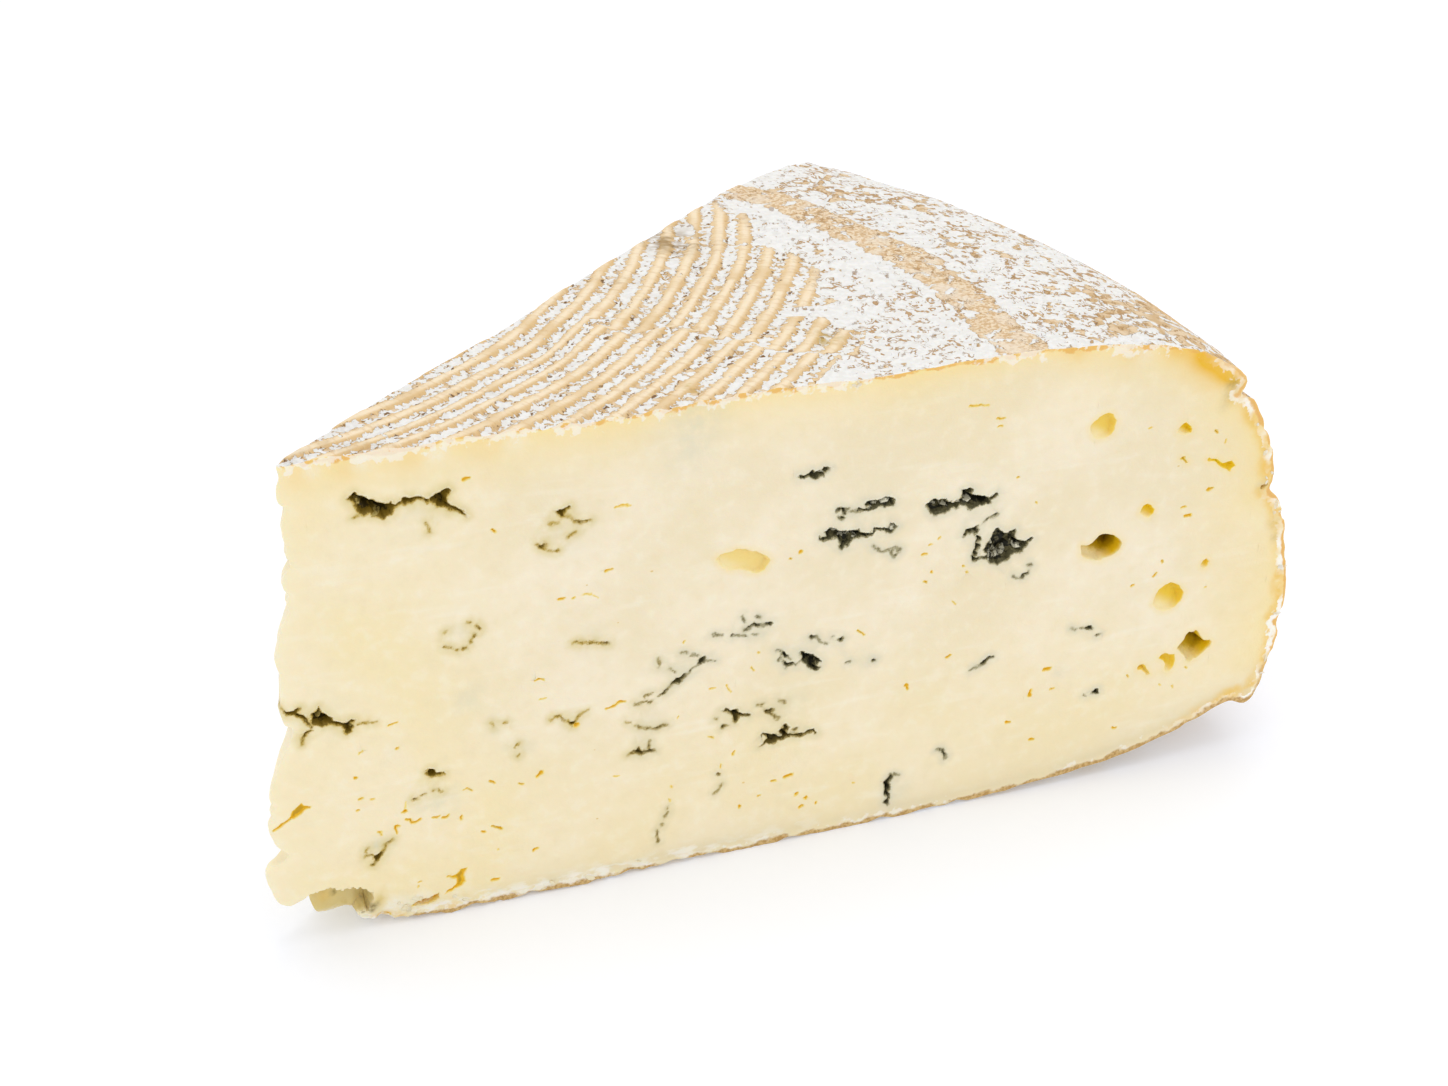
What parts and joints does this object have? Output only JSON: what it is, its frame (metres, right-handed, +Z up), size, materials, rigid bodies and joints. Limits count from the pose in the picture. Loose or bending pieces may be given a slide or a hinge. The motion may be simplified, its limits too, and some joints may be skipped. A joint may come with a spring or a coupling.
{
  "type": "blue cheese wedge",
  "caption": "Wedge of soft blue-veined cheese with a bulging white and tan rind, a ribbed top, flat cut faces with mould pockets and eyes, and a sagging broken tip.",
  "frame": {"origin": "on the table under the middle of the wedge's box", "axes": "+X along the near cut face from the tip to the rind, +Y towards the far cut face, +Z up from the table"},
  "size_m": [0.1214, 0.074, 0.0595],
  "materials": {
    "cheese": "moist ivory paste with blue-green mould, and a dry white and tan rind"
  },
  "bodies": {
    "root": {"cheese_wedge": "cheese"}
  },
  "joints": []
}
